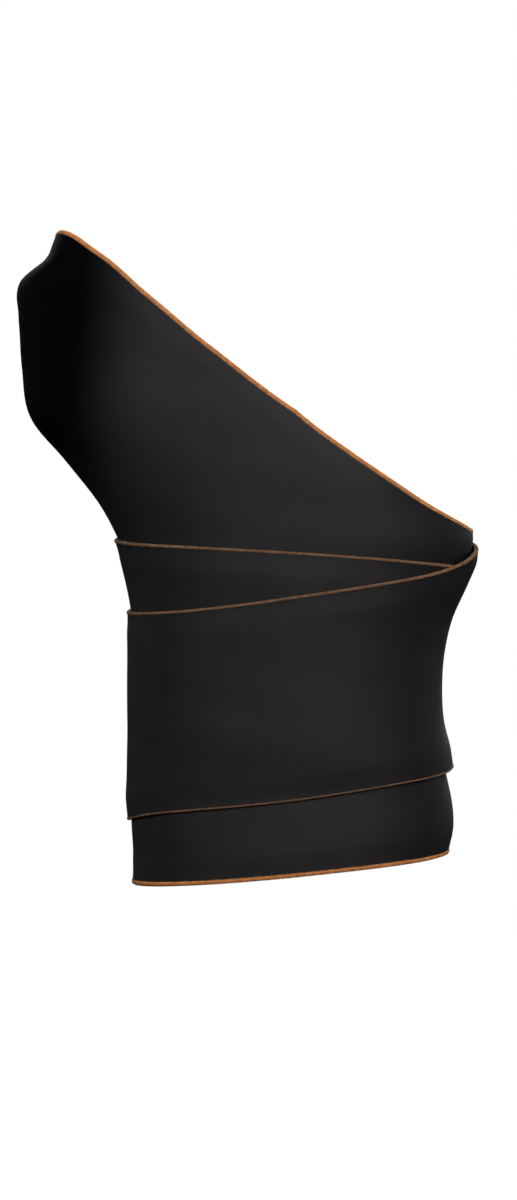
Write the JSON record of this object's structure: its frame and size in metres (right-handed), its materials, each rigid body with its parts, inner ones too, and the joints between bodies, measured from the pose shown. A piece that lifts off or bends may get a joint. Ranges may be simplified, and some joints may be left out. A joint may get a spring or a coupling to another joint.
{
  "type": "wrist brace",
  "caption": "Thin black stretch-cloth wrist brace in its worn form: a slanted sleeve with a thumb hole and a strap wound round the wrist, edged in orange.",
  "frame": {"origin": "centre of the wrist's place in the hollow, at the sleeve's waist", "axes": "+Z along the sleeve, from the forearm's end to the hand's end; -Y is the front that the picture shows; -X is the side with the thumb hole"},
  "size_m": [0.0883, 0.0532, 0.1254],
  "materials": {
    "stretch_cloth": "matte, fine knit",
    "edging": "matte",
    "hook_tape": "matte"
  },
  "bodies": {
    "root": {"sleeve": "stretch_cloth", "wrist_strap": "stretch_cloth", "closing_tab": "hook_tape", "upper_edge_trim": "edging", "lower_edge_trim": "edging", "strap_upper_trim": "edging", "strap_lower_trim": "edging"}
  },
  "joints": []
}
